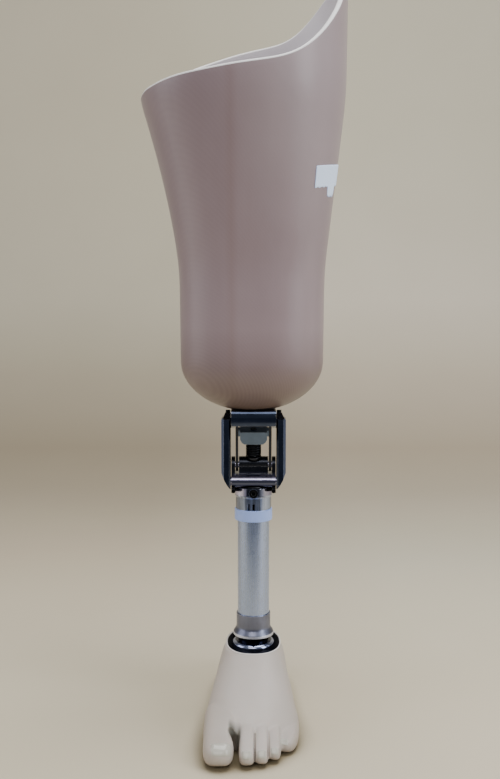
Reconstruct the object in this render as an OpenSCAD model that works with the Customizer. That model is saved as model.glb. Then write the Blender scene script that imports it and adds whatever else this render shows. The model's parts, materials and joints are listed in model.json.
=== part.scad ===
// Left knee-disarticulation prosthesis: laminated socket, four-bar knee, tube pylon and
// cushioned-heel foot. The leg's front faces -Y, +X is the lateral side, +Z is up.
// The origin lies on the floor, under the pylon's axis.

/* [Foot] */
// Height of the foot's top face above the floor
ankle_z = 65; // [62:1:68]
// Width of the keel
keel_w = 40; // [34:1:42]
// Half width of the oval recess in the top of the foot
recess_r = 23.9; // [22:0.1:24.5]

/* [Pylon] */
// Length of the pylon tube
pylon_len = 117; // [117:1:380]
// Outer radius of the pylon tube
tube_r = 15; // [15:0.5:15.5]
// Wall thickness of the pylon tube
tube_wall = 2; // [1.5:0.5:3]
// Height of the white collar
collar_h = 10.8; // [6:0.2:14]

/* [Knee] */
// Half width over the outer links
knee_half_w = 30; // [29:0.5:32]
// Half width of the upper and lower frames
frame_half_w = 20.7; // [20.6:0.1:20.9]
// Distance from an inner link's middle to the leg's middle plane
inner_link_x = 15.5; // [15.4:0.1:15.6]
// Thickness of an inner link
inner_link_t = 2.4; // [2:0.2:3]
// Outer diameter of the extension assist spring
spring_d = 14.5; // [13:0.5:14.5]
// Wire diameter of the extension assist spring
spring_wire = 2.2; // [1.6:0.2:2.4]

/* [Socket] */
// Wall thickness of the laminate
wall = 4.5; // [3.5:0.5:5]
// Half width of the closed end, side to side
end_half_w = 66; // [62:1:70]
// Half depth of the closed end, front to back
end_half_d = 56; // [52:1:58]
// Half width at the brim, side to side
brim_half_w = 91; // [86:1:96]
// Half depth at the brim, front to back
brim_half_d = 86; // [80:1:92]
// Forward lean of the socket, as a slope
socket_lean = 0.1; // [0.06:0.01:0.12]

/* [Hidden] */
$fn = 48;
eps = 0.01;

// Heights of the stack, from the floor up
keel_top_z = ankle_z - 8;
clamp_z = ankle_z + 6.5;
tube_z = clamp_z + 12.8;
adapter_z = clamp_z + 5.5 + pylon_len;
adapter_h = 21.2;
knee_z = adapter_z + adapter_h + 0.3;
socket_z = knee_z + 73.5;
fit_gap = 0.05;
link_x = frame_half_w + 0.5;
// How far a link's straight sides lie inside its round ends' tangents
tuck = 0.03;

// Knee pivots as [y, z] above the knee's base: A and C below, B and D above.
// The outer links join A to B and the inner links join C to D, so the two pairs cross.
pivot_a = [-12, 6.5];
pivot_b = [-7.5, 60.5];
pivot_c = [-2.5, 20.5];
pivot_d = [-15.5, 65];
axle_a_r = 4;
axle_r = 3;
axle_d_r = 2.5;
open_pivot_gap = 0.8;
// Middle of the inner links' upper holes, from D, that halves the linkage's error over its travel
open_pivot_shift = [-0.5, -0.1];
inner_tilt = atan2(pivot_c[0] - pivot_d[0], pivot_d[1] - pivot_c[1]);
cam_r = 6.5;
cam_offset = [1.8, 0.9];

// Rear block of the extension assist, by distance from C along the inner links
cup_from = 24.2;
cup_to = 36.4;
cup_half_w = 12.5;
cup_half_d = 8.4;
cup_taper = 4.8;
// The cup's upper rear edge is cut off to pass under the upper frame's plate
cup_cut = [2.2, 5.5];
cup_bore_depth = 3.5;
shoe_from = 7.5;
shoe_t = 1.8;
rod_r = 3;
rod_end = 37;
spring_turns = 6;
spring_sides = 8;
spring_steps_per_turn = 16;

// Socket: heights above the closed end
bowl_h = 47;
bowl_drop = 2;
floor_t = 6;
flare_from = 121;
flare_to = 279;
// Height of the rim above the socket's closed end, every 30 degrees from the lateral side
// round the back, the medial side and the front
RIM = [379, 391, 354, 339, 322, 297, 279, 281, 284, 290, 303, 341];
SOCKET_SIDES = 36;
BOWL_STEPS = 7;
WALL_STEPS = 13;
ANCHOR_AT = [[-9, -13.5], [9, -13.5], [-9, 8.5], [9, 8.5]];

// Foot: stations from heel to toe as [y, medial x, lateral x, top z]; the ankle is cut off level
// at ankle_z
FOOT = [[84, -5, 5, 20], [80, -16, 16, 38], [70, -22, 22, 50], [56, -25.5, 25.5, 60], [46, -27, 27, 67],
    [30, -29, 29, 76], [0, -31.5, 31, 81], [-30, -35, 32.5, 72], [-43, -37.5, 35, 64], [-60, -41, 37, 52],
    [-80, -43.5, 39.5, 40], [-98, -44, 39.5, 31], [-112, -43.5, 33, 24], [-122, -42, 17, 20],
    [-128, -39.5, 0, 16], [-131.5, -35, -18, 11]];
// Depth of the trench round the keel, inside the recess
trench = 7;
recess_y = [-15.5, 11.5];
FOOT_SIDES = 32;
bolt_access_r = 10;
SOLE_TUCK = 4;

// ---- helpers ----

// Rod along X through the point p = [y, z], from x0 to x1
module rod_x(p, r, x0, x1) {
    translate([x0, p[0], p[1]]) rotate([0, 90, 0]) cylinder(r = r, h = x1 - x0);
}

// Extrudes a [y, z] outline along X, from x0 to x1
module slab_x(points, x0, x1) {
    translate([x0, 0, 0]) rotate([90, 0, 90]) linear_extrude(height = x1 - x0) polygon(points);
}

// Corners where the outer tangents meet two circles
function tangent_corners(p, rp, q, rq) =
    let (d = norm(q - p), dir = atan2(q[1] - p[1], q[0] - p[0]), b = acos((rp - rq) / d))
    [p + rp * [cos(dir + b), sin(dir + b)], q + rq * [cos(dir + b), sin(dir + b)],
     q + rq * [cos(dir - b), sin(dir - b)], p + rp * [cos(dir - b), sin(dir - b)]];

// Flat bar with round ends, along X from x0 to x1
module link_bar(p, rp, q, rq, x0, x1) {
    rod_x(p, rp, x0, x1);
    rod_x(q, rq, x0, x1);
    slab_x(tangent_corners(p, rp - tuck, q, rq - tuck), x0, x1);
}

module block(x, y, z) {
    translate([x[0], y[0], z[0]]) cube([x[1] - x[0], y[1] - y[0], z[1] - z[0]]);
}

module both_sides() {
    children();
    mirror([1, 0, 0]) children();
}

// Places its children at C, with +Z towards D
module on_inner_axis() {
    translate([0, pivot_c[0], pivot_c[1]]) rotate([inner_tilt, 0, 0]) children();
}

module at_knee() {
    translate([0, 0, knee_z]) children();
}

// Closed skin over a stack of rings that all hold n points
function ring_faces(rings, n) = [
    for (j = [0:rings - 2], i = [0:n - 1])
        [j * n + i, j * n + (i + 1) % n, (j + 1) * n + (i + 1) % n, (j + 1) * n + i]];

function smooth(a, b, c, d, t) =
    0.5 * (2 * b + (c - a) * t + (2 * a - 5 * b + 4 * c - d) * t * t + (3 * b - a - 3 * c + d) * t * t * t);

function power(v, e) = sign(v) * pow(abs(v), e);

// ---- socket ----

function rim_h(a) =
    let (n = len(RIM), s = a / 30, i = floor(s))
    smooth(RIM[(i + n - 1) % n], RIM[i % n], RIM[(i + 1) % n], RIM[(i + 2) % n], s - i);

function flare(h) = let (t = (h - flare_from) / (flare_to - flare_from)) max(0, min(1, t));

function wall_point(a, h, half_w, half_d) =
    let (f = flare(h))
    [-1.5 - 8.5 * f * f + half_w * power(cos(a), 0.91),
     -2 - socket_lean * max(0, h - 10) + half_d * power(sin(a), 0.91),
     socket_z + h];

function wall_ring(step, inset) = [
    for (i = [0:SOCKET_SIDES - 1])
        let (a = i * 360 / SOCKET_SIDES, low = bowl_h - bowl_drop,
             h = low + (rim_h(a) - low) * step / WALL_STEPS, g = pow(flare(h), 1.3))
        wall_point(a, h, end_half_w + (brim_half_w - end_half_w) * g - inset,
            end_half_d + (brim_half_d - end_half_d) * g - inset)];

function bowl_ring(step, inset, floor_h) =
    let (depth = bowl_h - inset, low = inset - bowl_drop,
         start = acos(1 - (floor_h - low) / depth), t = start + (90 - start) * step / BOWL_STEPS)
    [for (i = [0:SOCKET_SIDES - 1])
        wall_point(i * 360 / SOCKET_SIDES, low + depth * (1 - cos(t)),
            (end_half_w - inset) * sin(t), (end_half_d - inset) * sin(t))];

module socket_shell() color([0.6, 0.52, 0.5]) {
    n = SOCKET_SIDES;
    rings = concat(
        [for (s = [0:BOWL_STEPS]) bowl_ring(s, 0, 0)],
        [for (s = [1:WALL_STEPS]) wall_ring(s, 0)],
        [for (s = [WALL_STEPS:-1:1]) wall_ring(s, wall)],
        [for (s = [BOWL_STEPS:-1:0]) bowl_ring(s, wall, floor_t)]);
    last = len(rings) - 1;
    difference() {
        polyhedron([for (r = rings, p = r) p], concat(
            ring_faces(len(rings), n),
            [[for (i = [n - 1:-1:0]) i], [for (i = [0:n - 1]) last * n + i]]), convexity = 8);
        for (p = ANCHOR_AT) translate([p[0], p[1], socket_z - 1]) cylinder(r = 2.75, h = floor_t + 2);
    }
}

module distal_pad() color([0.85, 0.84, 0.8]) {
    n = SOCKET_SIDES;
    clear = wall + 0.8;
    low = floor_t + 4.6;
    levels = [low, low + 6, low + 12, low + 16];
    ring = [for (h = levels)
        let (c = 1 - (h - clear + bowl_drop) / (bowl_h - clear), s = sqrt(1 - c * c))
        [for (i = [0:n - 1]) wall_point(i * 360 / n, h, (end_half_w - clear) * s, (end_half_d - clear) * s)]];
    polyhedron([for (r = ring, p = r) p], concat(
        ring_faces(len(ring), n),
        [[for (i = [n - 1:-1:0]) i], [for (i = [0:n - 1]) (len(ring) - 1) * n + i]]));
}

module anchor_plate() color([0.7, 0.71, 0.73]) {
    difference() {
        translate([0, -2.5, socket_z + floor_t]) cylinder(r = 19.2, h = 4, $fn = 64);
        for (p = ANCHOR_AT) translate([p[0], p[1], socket_z + floor_t]) {
            translate([0, 0, -1]) cylinder(r = 2.75, h = 6);
            translate([0, 0, 1.5]) cylinder(r1 = 2.75, r2 = 5, h = 2.5 + eps);
        }
    }
}

module anchor_screws() color([0.3, 0.3, 0.32]) {
    for (p = ANCHOR_AT) translate([p[0], p[1], socket_z + floor_t]) difference() {
        union() {
            translate([0, 0, -10.5]) cylinder(r = 2.5, h = 13);
            translate([0, 0, 1.6]) cylinder(r1 = 2.5, r2 = 4.7, h = 2.3);
        }
        translate([0, 0, 2]) cylinder(r = 1.5, h = 3, $fn = 6);
    }
}

// ---- knee, upper part ----

plate_z = [68, 73.5];
slot_x = [inner_link_x - inner_link_t / 2 - 0.6, inner_link_x + inner_link_t / 2 + 0.6];
hub_r = 7;
eye_r = 6.2;
// Front of the slots in which the inner links' eyes turn
link_front = pivot_d[0] + open_pivot_shift[0] - eye_r - 0.5;
FRONT_BAR = [[pivot_d[0], 57.8], [-24.2, 59.3], [-25.8, 63.5], [-25.8, 70.2], [-24, plate_z[1]],
    [pivot_d[0], plate_z[1]]];

module upper_frame() color([0.2, 0.22, 0.25]) at_knee() difference() {
    union() {
        block([-frame_half_w, frame_half_w], [-24, 14], plate_z);
        rod_x(pivot_d, hub_r, -frame_half_w, frame_half_w);
        block([-frame_half_w, frame_half_w], [pivot_d[0] - hub_r, pivot_d[0] + hub_r],
            [pivot_d[1], plate_z[1]]);
        // Bar across the front, with a faceted face and its lower corners cut off
        intersection() {
            slab_x(FRONT_BAR, -frame_half_w, frame_half_w);
            translate([0, -10, 0]) rotate([90, 0, 0]) linear_extrude(height = 20)
                polygon([[-frame_half_w + 3.2, 57], [frame_half_w - 3.2, 57], [frame_half_w, 60.5],
                    [frame_half_w, 75], [-frame_half_w, 75], [-frame_half_w, 60.5]]);
        }
        both_sides() {
            link_bar(pivot_d, hub_r, pivot_b, 5, slot_x[1], frame_half_w);
            block([slot_x[1], frame_half_w], [pivot_d[0], pivot_b[0] + 5], [pivot_b[1], plate_z[1]]);
        }
    }
    rod_x(pivot_d, axle_d_r, -frame_half_w - 1, frame_half_w + 1);
    both_sides() {
        rod_x(pivot_b, axle_r, slot_x[1] - 1, frame_half_w + 1);
        block(slot_x, [link_front, -6.5], [pivot_d[1] - 9, plate_z[1] - 1.8]);
    }
    // Room behind the hub for the cup as it folds up
    block([-slot_x[0], slot_x[0]], [pivot_d[0] + hub_r, 5], [50, plate_z[0] + 0.6]);
    for (p = ANCHOR_AT) translate([p[0], p[1], plate_z[0] + 0.8]) cylinder(r = 2.5, h = 6);
}

module upper_front_axle() color([0.75, 0.76, 0.78]) at_knee()
    rod_x(pivot_d, axle_d_r, -frame_half_w + 0.3, frame_half_w - 0.3);

module upper_rear_stubs() color([0.12, 0.12, 0.13]) at_knee() both_sides() difference() {
    union() {
        rod_x(pivot_b, axle_r, slot_x[1] + 0.2, knee_half_w - 2);
        rod_x(pivot_b, 5, knee_half_w - 2, knee_half_w - 0.2);
    }
    translate([knee_half_w - 1.6, pivot_b[0], pivot_b[1]]) rotate([0, 90, 0]) cylinder(r = 2, h = 3, $fn = 6);
}

// ---- knee, outer links ----

link_r = [7.5, 10];
lock_x = 23.8;
// Side outline: octagonal ends round A and B, joined by straight edges
corner = tan(22.5);
LINK_OUTLINE = concat(
    [for (c = [[-1, -corner], [-corner, -1], [corner, -1], [1, -corner]]) pivot_a + link_r[0] * c],
    [for (c = [[1, corner], [corner, 1], [-corner, 1], [-1, corner]]) pivot_b + link_r[1] * c]);
front_tilt = atan2(LINK_OUTLINE[0][0] - LINK_OUTLINE[7][0], LINK_OUTLINE[7][1] - LINK_OUTLINE[0][1]);

module outer_link() at_knee() difference() {
    intersection() {
        slab_x(LINK_OUTLINE, link_x - 1, knee_half_w + 1);
        translate([0, 20, 0]) rotate([90, 0, 0]) linear_extrude(height = 60)
            polygon([[link_x, -2], [knee_half_w - 6.6, 1], [knee_half_w - 3, 7.4], [knee_half_w, 14.7],
                [knee_half_w, 64.2], [knee_half_w - 2.5, 67.6], [knee_half_w - 4.2, 72], [link_x, 72]]);
    }
    // Long bevels on the front edges
    translate([0, LINK_OUTLINE[0][0], LINK_OUTLINE[0][1]]) rotate([front_tilt, 0, 0]) {
        translate([knee_half_w, 0, 0]) rotate([0, 0, 45]) cube([3.4, 3.4, 160], center = true);
        translate([link_x, 0, 0]) rotate([0, 0, 45]) cube([2.2, 2.2, 160], center = true);
    }
    rod_x(pivot_a, axle_a_r, link_x - 1, knee_half_w + 1);
    rod_x(pivot_b, 4.5, link_x - 1, knee_half_w + 1);
    rod_x(pivot_b, 5.4, knee_half_w - 2.2, knee_half_w + 1);
    translate([lock_x, pivot_b[0], pivot_b[1]]) cylinder(r = 1.5, h = 20);
}

// Screws in the links' upper ends that hold the bushes
module link_lock_screws() color([0.05, 0.05, 0.05]) at_knee() both_sides()
    translate([lock_x, pivot_b[0], pivot_b[1]]) difference() {
        union() {
            translate([0, 0, 5.2]) cylinder(r = 1.5, h = 5);
            translate([0, 0, link_r[1] + 0.05]) cylinder(r = 2.2, h = 2.1);
        }
        translate([0, 0, link_r[1] + 1]) cylinder(r = 1, h = 2, $fn = 6);
    }

module outer_link_medial() color([0.2, 0.23, 0.27]) mirror([1, 0, 0]) outer_link();

module outer_link_lateral() color([0.2, 0.23, 0.27]) outer_link();

module lower_front_axle() color([0.75, 0.76, 0.78]) at_knee() rod_x(pivot_a, axle_a_r, -25.5, 25.5);

module stub_bushes() color([0.72, 0.56, 0.28]) at_knee() both_sides() difference() {
    rod_x(pivot_b, 4.5, link_x, knee_half_w - 2.3);
    rod_x(pivot_b, axle_r + fit_gap, link_x - 1, knee_half_w);
}

module thrust_washers() color([0.1, 0.1, 0.1]) at_knee() both_sides() difference() {
    rod_x(pivot_b, 4.9, link_x - 0.4, link_x);
    rod_x(pivot_b, axle_r + 0.1, link_x - 1, link_x + 1);
}

// ---- knee, inner links and extension assist ----

module inner_link(side) at_knee() {
    x0 = side * inner_link_x - inner_link_t / 2;
    x1 = side * inner_link_x + inner_link_t / 2;
    eye = pivot_d + open_pivot_shift;
    difference() {
        link_bar(pivot_c, 6.6, eye, eye_r, x0, x1);
        rod_x(pivot_c, axle_r + fit_gap, x0 - 1, x1 + 1);
        rod_x(eye, axle_d_r + open_pivot_gap, x0 - 1, x1 + 1);
    }
}

module inner_link_medial() color([0.12, 0.13, 0.15]) inner_link(-1);

module inner_link_lateral() color([0.12, 0.13, 0.15]) inner_link(1);

module assist_cup() color([0.35, 0.4, 0.44]) at_knee() on_inner_axis() difference() {
    union() {
        translate([-cup_half_w, -cup_half_d, cup_from + cup_taper])
            cube([2 * cup_half_w, 2 * cup_half_d, cup_to - cup_from - cup_taper]);
        // Tapered lower edge
        translate([0, cup_half_d, 0]) rotate([90, 0, 0]) linear_extrude(height = 2 * cup_half_d)
            polygon([[-8.6, cup_from], [8.6, cup_from], [11, cup_from + 1.8],
                [cup_half_w, cup_from + cup_taper], [-cup_half_w, cup_from + cup_taper],
                [-11, cup_from + 1.8]]);
        // Bridge between the two inner links
        translate([-inner_link_x + inner_link_t / 2, -4, cup_to - 6])
            cube([2 * inner_link_x - inner_link_t, 8, 6]);
    }
    slab_x([[cup_half_d - cup_cut[0], cup_to + eps], [cup_half_d + eps, cup_to - cup_cut[1]],
        [cup_half_d + eps, cup_to + eps]], -cup_half_w - 1, cup_half_w + 1);
    translate([0, 0, cup_from - 1]) cylinder(r = spring_d / 2 + 0.4, h = 1 + cup_bore_depth);
    translate([0, 0, cup_from - 1]) cylinder(r = rod_r + fit_gap, h = 20);
}

module assist_plunger() color([0.6, 0.62, 0.65]) at_knee() on_inner_axis() {
    translate([0, 0, shoe_from]) cylinder(r = spring_d / 2, h = shoe_t);
    translate([0, 0, shoe_from + shoe_t]) cylinder(r = rod_r, h = rod_end - shoe_from - shoe_t);
}

// Open coil between the plunger's shoe and the cup, swept along a helix
module assist_spring() color([0.06, 0.06, 0.07]) at_knee() on_inner_axis() {
    wire_r = spring_wire / 2;
    z0 = shoe_from + shoe_t + wire_r + 0.05;
    z1 = cup_from + cup_bore_depth - wire_r - 0.05;
    coil_r = spring_d / 2 - wire_r;
    n = spring_sides;
    steps = spring_turns * spring_steps_per_turn;
    rings = [for (s = [0:steps])
        let (a = 360 * s / spring_steps_per_turn, z = z0 + (z1 - z0) * s / steps)
        [for (k = [0:n - 1]) let (b = 360 * k / n, r = coil_r + wire_r * cos(b))
            [r * cos(a), r * sin(a), z + wire_r * sin(b)]]];
    polyhedron([for (r = rings, p = r) p], concat(
        ring_faces(len(rings), n),
        [[for (i = [n - 1:-1:0]) i], [for (i = [0:n - 1]) steps * n + i]]), convexity = 10);
}

// ---- knee, lower part ----

module lower_frame() color([0.16, 0.17, 0.19]) at_knee() difference() {
    union() {
        block([-frame_half_w, frame_half_w], [pivot_a[0] + 3, 11], [0, 12.5]);
        // Cheeks that hold the rear axle
        both_sides() {
            link_bar(pivot_c, 7.6, [pivot_c[0] + 2, 8], 9, slot_x[1], frame_half_w);
            // Lugs with the axle lock screws
            block([frame_half_w - 3.4, frame_half_w], [pivot_a[0] - 4, pivot_a[0] + 6], [-4.4, 0.5]);
        }
        // Middle hub with the eccentric cam of the extension assist
        rod_x(pivot_c + cam_offset, cam_r, -slot_x[0], slot_x[0]);
        block([-slot_x[0], slot_x[0]], [pivot_c[0] - 5, pivot_c[0] + 7], [10, 19]);
    }
    rod_x(pivot_a, 6 + 0.02, -frame_half_w - 1, frame_half_w + 1);
    rod_x(pivot_c, axle_r, -frame_half_w - 1, frame_half_w + 1);
    both_sides() {
        rod_x(pivot_c, 7.6, slot_x[0], slot_x[1]);
        translate([frame_half_w - 2, pivot_a[0] + 1, -2.3]) rotate([90, 0, 0]) cylinder(r = 1.2, h = 6);
    }
}

module front_hub_sleeve() color([0.75, 0.75, 0.82]) at_knee() difference() {
    rod_x(pivot_a, 6, -frame_half_w, frame_half_w);
    rod_x(pivot_a, axle_a_r + fit_gap, -frame_half_w - 1, frame_half_w + 1);
}

module lower_rear_axle() color([0.75, 0.76, 0.78]) at_knee()
    rod_x(pivot_c, axle_r, -frame_half_w + 0.2, frame_half_w - 0.2);

module axle_lock_screws() color([0.05, 0.05, 0.05]) at_knee() both_sides()
    translate([frame_half_w - 2, pivot_a[0] + 1, -2.3]) rotate([90, 0, 0]) {
        cylinder(r = 1.2, h = 5.0);
        translate([0, 0, 5]) cylinder(r = 2, h = 1.8);
    }

module knee_pyramid() color([0.6, 0.61, 0.63]) at_knee() {
    translate([0, 0, -1.2]) cylinder(r = 11, h = 1.2);
    translate([0, 0, -11]) rotate([0, 0, 45]) cylinder(r1 = 14, r2 = 10.6, h = 9.8, $fn = 4);
}

// ---- pylon ----

cavity_r = 14.4;
set_screw_r = 4.2;
set_screw_h = 16.4;

// Slits in the skirt and the tube's top, by x
SLITS = [-4.7, 0.1];

module tube_slits() for (x = SLITS) translate([x - 1.1, -20, adapter_z - 1]) cube([2.2, 8, 7.6]);

module upper_tube_adapter() color([0.72, 0.73, 0.75]) difference() {
    translate([0, 0, adapter_z]) rotate_extrude() polygon([[0, 0], [16.8, 0], [16.8, 11.4],
        [18.4, 13.4], [18.4, adapter_h - 0.4], [18, adapter_h], [0, adapter_h]]);
    translate([0, 0, adapter_z - 1]) cylinder(r = tube_r, h = 8);
    translate([0, 0, adapter_z + 9]) cylinder(r = cavity_r, h = adapter_h);
    for (a = [0:90:270]) translate([0, 0, adapter_z + set_screw_h]) rotate([90, 0, a]) {
        cylinder(r = set_screw_r, h = 20);
        // Flat round the screw
        translate([-8, -5, 17.3]) cube([16, 12, 4]);
    }
    tube_slits();
}

module upper_set_screws() color([0.05, 0.05, 0.06]) for (a = [0:90:270])
    translate([0, 0, adapter_z + set_screw_h]) rotate([90, 0, a]) difference() {
        union() {
            translate([0, 0, 11.2]) cylinder(r = set_screw_r, h = 5.6);
            translate([0, 0, 9.1]) cylinder(r = 2, h = 3);
        }
        translate([0, 0, 13.8]) cylinder(r = 2.4, h = 4, $fn = 6);
    }

module tube_collar() color([0.85, 0.87, 0.93]) translate([0, 0, adapter_z - collar_h]) difference() {
    cylinder(r = 17.8, h = collar_h);
    translate([0, 0, -1]) cylinder(r = tube_r, h = collar_h + 2);
}

module pylon_tube() color([0.62, 0.65, 0.7]) difference() {
    translate([0, 0, tube_z]) cylinder(r = tube_r, h = adapter_z + 7 - tube_z);
    translate([0, 0, tube_z - 1]) cylinder(r = tube_r - tube_wall, h = pylon_len + 2);
    tube_slits();
}

module tube_clamp() color([0.45, 0.44, 0.44]) difference() {
    union() {
        translate([0, 0, clamp_z]) rotate_extrude() polygon([[0, 0], [19.2, 0], [19.2, 2.2], [18, 4.2],
            [16.6, 6.5], [16.2, 9], [16.2, 20.8], [0, 20.8]]);
        // Ears of the clamp at the back
        block([-8, 8], [14, 25], [clamp_z + 13.2, clamp_z + 20.8]);
    }
    translate([0, 0, tube_z - 0.3]) cylinder(r = tube_r + fit_gap, h = 20);
    block([-1.2, 1.2], [10, 26], [tube_z - 0.3, clamp_z + 22]);
    translate([0, 0, clamp_z - 1]) cylinder(r = 5, h = 10);
    rod_x([20.5, clamp_z + 17], 2, -9, 9);
}

module clamp_screw() color([0.1, 0.1, 0.1]) {
    rod_x([20.5, clamp_z + 17], 2, -8, 10);
    difference() {
        rod_x([20.5, clamp_z + 17], 3.5, 8, 12);
        translate([10, 20.5, clamp_z + 17]) rotate([0, 90, 0]) cylinder(r = 1.7, h = 3, $fn = 6);
    }
}

// ---- foot ----

ring_r = 20.6;
ring_h = 8.6;
shoulder_r = 4;

module foot_adapter() color([0.3, 0.33, 0.45]) difference() {
    // Ring with a round shoulder and a neck up to the tube clamp
    translate([0, 0, keel_top_z]) rotate_extrude() union() {
        square([ring_r, ring_h - shoulder_r]);
        square([ring_r - shoulder_r, ring_h]);
        translate([ring_r - shoulder_r, ring_h - shoulder_r]) circle(r = shoulder_r);
        square([14.5, clamp_z - keel_top_z]);
    }
    // Notch that marks the front
    translate([0, -ring_r - 2, keel_top_z + ring_h]) rotate([-90, 0, 0]) cylinder(r = 1.4, h = 6);
    translate([0, 0, keel_top_z - 1]) cylinder(r = 5.2, h = 20);
}

module foot_bolt() color([0.2, 0.2, 0.22]) difference() {
    union() {
        translate([0, 0, 20]) cylinder(r = 8, h = 8);
        translate([0, 0, 28]) cylinder(r = 5, h = clamp_z + 8 - 28);
    }
    translate([0, 0, 19]) cylinder(r = 4.6, h = 5, $fn = 6);
}

module foot_bolt_washer() color([0.7, 0.7, 0.72]) difference() {
    translate([0, 0, 28]) cylinder(r = 9.8, h = 2);
    translate([0, 0, 27]) cylinder(r = 5.2, h = 4);
}

KEEL = [[-78, 12], [-78, 18], [-46, 36], [-25, 46], [-25, keel_top_z], [23, keel_top_z], [30, 44], [34, 36],
    [12, 12]];
WEDGE = [[12.5, 12], [34.5, 36], [56, 36], [62, 24], [62, 7], [12.5, 7]];

module foot_keel() color([0.14, 0.14, 0.14]) difference() {
    slab_x(KEEL, -keel_w / 2, keel_w / 2);
    translate([0, 0, 11]) cylinder(r = bolt_access_r, h = 19);
    translate([0, 0, 20]) cylinder(r = 5.2, h = 60);
}

module heel_cushion() color([0.3, 0.28, 0.26]) slab_x(WEDGE, -keel_w / 2 + 2, keel_w / 2 - 2);

module sole_plug() color([0.6, 0.57, 0.54]) cylinder(r = bolt_access_r, h = 11);

function foot_at(y) =
    let (last = len(FOOT) - 1,
         i = max([for (k = [0:last - 1]) if (FOOT[k][0] >= y) k]),
         t = (y - FOOT[i][0]) / (FOOT[i + 1][0] - FOOT[i][0]),
         a = FOOT[max(0, i - 1)], d = FOOT[min(last, i + 2)])
    [for (c = [1:3]) smooth(a[c], FOOT[i][c], FOOT[i + 1][c], d[c], t)];

function foot_ring(y) =
    let (f = foot_at(y), cx = (f[0] + f[1]) / 2, hw = (f[1] - f[0]) / 2, cz = 0.4 * f[2])
    [for (i = [0:FOOT_SIDES - 1])
        let (a = i * 360 / FOOT_SIDES, up = f[2] - cz, down = cz + SOLE_TUCK)
        [cx + hw * power(cos(a), 0.8), y, max(0, cz + (sin(a) > 0 ? up : down) * power(sin(a), 0.8))]];

module foot_shell() color([0.72, 0.7, 0.68]) {
    n = FOOT_SIDES;
    stations = concat([for (y = [84, 82, 80, 76]) y], [for (y = [70:-10:-110]) y], [-117, -123, -128, -131.5]);
    rings = [for (y = stations) foot_ring(y)];
    difference() {
        intersection() {
            polyhedron([for (r = rings, p = r) p], concat(
                ring_faces(len(rings), n),
                [[for (i = [n - 1:-1:0]) i], [for (i = [0:n - 1]) (len(rings) - 1) * n + i]]), convexity = 6);
            block([-60, 60], [-160, 100], [-1, ankle_z]);
        }
        slab_x(KEEL, -keel_w / 2, keel_w / 2);
        slab_x(WEDGE, -keel_w / 2 + 2, keel_w / 2 - 2);
        // Oval recess for the adapter, open at the top
        for (y = recess_y) translate([0, y, keel_top_z - trench]) cylinder(r = recess_r, h = 30);
        block([-recess_r, recess_r], recess_y, [keel_top_z - trench, keel_top_z + 20]);
        translate([0, 0, -1]) cylinder(r = bolt_access_r, h = 14);
    }
}

socket_shell();
distal_pad();
anchor_plate();
anchor_screws();
upper_frame();
upper_front_axle();
upper_rear_stubs();
outer_link_medial();
outer_link_lateral();
link_lock_screws();
lower_front_axle();
stub_bushes();
thrust_washers();
inner_link_medial();
inner_link_lateral();
assist_cup();
assist_plunger();
assist_spring();
lower_frame();
front_hub_sleeve();
lower_rear_axle();
axle_lock_screws();
knee_pyramid();
upper_tube_adapter();
upper_set_screws();
tube_collar();
pylon_tube();
tube_clamp();
clamp_screw();
foot_adapter();
foot_bolt();
foot_bolt_washer();
foot_keel();
heel_cushion();
sole_plug();
foot_shell();
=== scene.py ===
"""Looks of a left knee-disarticulation prosthesis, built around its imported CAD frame."""

import json
import math

import bmesh
import bpy
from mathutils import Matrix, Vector
from mathutils.bvhtree import BVHTree


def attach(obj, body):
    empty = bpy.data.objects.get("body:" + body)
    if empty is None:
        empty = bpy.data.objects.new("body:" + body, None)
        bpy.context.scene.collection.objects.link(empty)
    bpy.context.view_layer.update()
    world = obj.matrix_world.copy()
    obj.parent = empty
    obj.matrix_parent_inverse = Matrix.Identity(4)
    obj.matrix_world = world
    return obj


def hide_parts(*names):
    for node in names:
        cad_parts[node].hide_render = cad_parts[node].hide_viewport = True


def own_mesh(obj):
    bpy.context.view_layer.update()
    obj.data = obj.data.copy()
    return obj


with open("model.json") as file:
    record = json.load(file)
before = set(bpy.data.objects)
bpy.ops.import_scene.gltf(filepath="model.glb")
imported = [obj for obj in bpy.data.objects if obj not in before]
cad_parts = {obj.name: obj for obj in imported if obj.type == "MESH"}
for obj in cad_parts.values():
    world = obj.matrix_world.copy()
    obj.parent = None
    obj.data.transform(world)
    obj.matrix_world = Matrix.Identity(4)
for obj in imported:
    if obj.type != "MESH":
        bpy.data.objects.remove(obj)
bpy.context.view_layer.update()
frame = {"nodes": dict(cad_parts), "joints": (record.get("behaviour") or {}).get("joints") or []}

MM = 0.001
SCENE = bpy.context.scene
# Pivot of the inner links on the lower frame, in mm
PIVOT_C = (0.0, -2.5, 236.0)
NODES = frame["nodes"]


# ---------------------------------------------------------------- materials

def rgb(r, g, b):
    """An opaque colour."""
    return (r, g, b, 1.0)


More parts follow.
